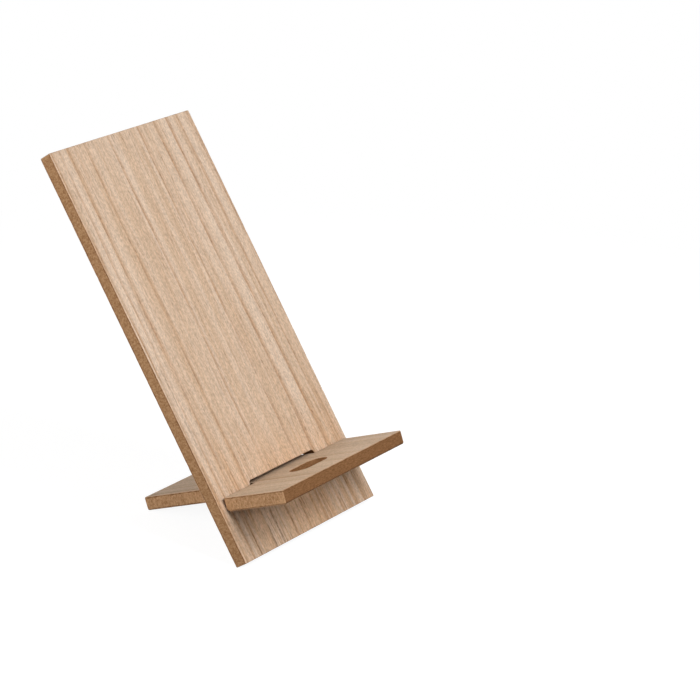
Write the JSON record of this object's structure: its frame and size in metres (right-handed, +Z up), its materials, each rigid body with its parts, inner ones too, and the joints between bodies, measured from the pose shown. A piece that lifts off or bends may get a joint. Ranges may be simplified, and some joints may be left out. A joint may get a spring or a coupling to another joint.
{
  "type": "phone holder",
  "caption": "Stand of veneered board: a T-shaped ledge slots through a leaning back board, props a phone upright and lets its charging cable down through an outlet.",
  "frame": {"origin": "on the table, under the middle of the holder's width and half-way between the front of its ledge and the rear of its top edge", "axes": "+X along the width, to the right of a person who faces the front; +Y to the rear, the way the board leans; +Z up"},
  "size_m": [0.087, 0.1198, 0.1537],
  "materials": {
    "mdf": "raw MDF, cut and lightly sanded",
    "board_veneer": "pale oak veneer with straight grain along the board, matt",
    "shelf_veneer": "pale oak veneer with straight grain from front to rear, matt"
  },
  "bodies": {
    "back_board": {"back_core": "mdf", "back_front_veneer": "board_veneer", "back_rear_veneer": "board_veneer"},
    "shelf": {"shelf_core": "mdf", "shelf_top_veneer": "shelf_veneer", "shelf_under_veneer": "shelf_veneer"}
  },
  "joints": [
    {"name": "shelf_slide", "type": "slide", "parent": "back_board", "child": "shelf", "axis": [0, -0.9397, 0.342], "range_m": [0, 0.065]}
  ]
}
